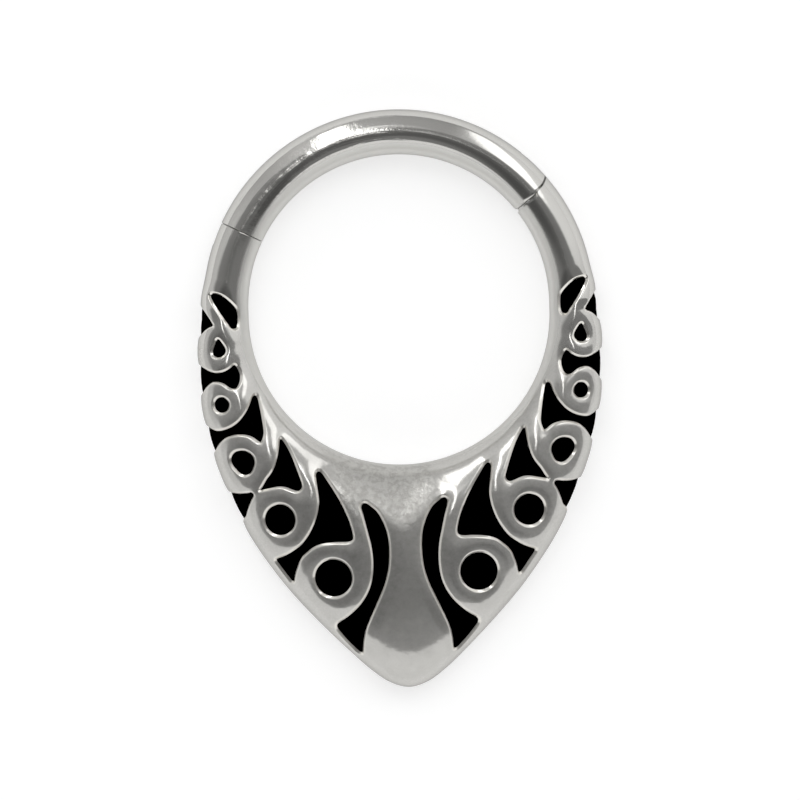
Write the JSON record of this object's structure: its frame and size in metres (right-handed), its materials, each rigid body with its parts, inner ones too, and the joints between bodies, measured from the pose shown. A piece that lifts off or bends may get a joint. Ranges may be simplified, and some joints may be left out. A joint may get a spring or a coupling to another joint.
{
  "type": "piercing hoop",
  "caption": "Hinged segment hoop for a piercing: a round steel wire closes an oval hole above a domed, pointed shield with black enamel scroll cells.",
  "frame": {"origin": "middle of the oval hole, on the plane of the flat back", "axes": "+X across the hoop towards the hinge, +Y from the shield's tip through the hole towards the top of the wire, +Z out of the domed front"},
  "size_m": [0.0108, 0.0153, 0.0019],
  "materials": {
    "steel": "mirror polished",
    "enamel": "smooth, filled level with the metal"
  },
  "bodies": {
    "body": {"body": "steel", "enamel_left": "enamel", "enamel_right": "enamel"},
    "segment": {"segment": "steel", "hinge_pin": "steel"}
  },
  "joints": [
    {"name": "segment_hinge", "type": "hinge", "parent": "body", "child": "segment", "pos_m": [0.00341, 0.0036, 0.0006], "axis": [0, 0, -1], "range_deg": [0, 85]}
  ]
}
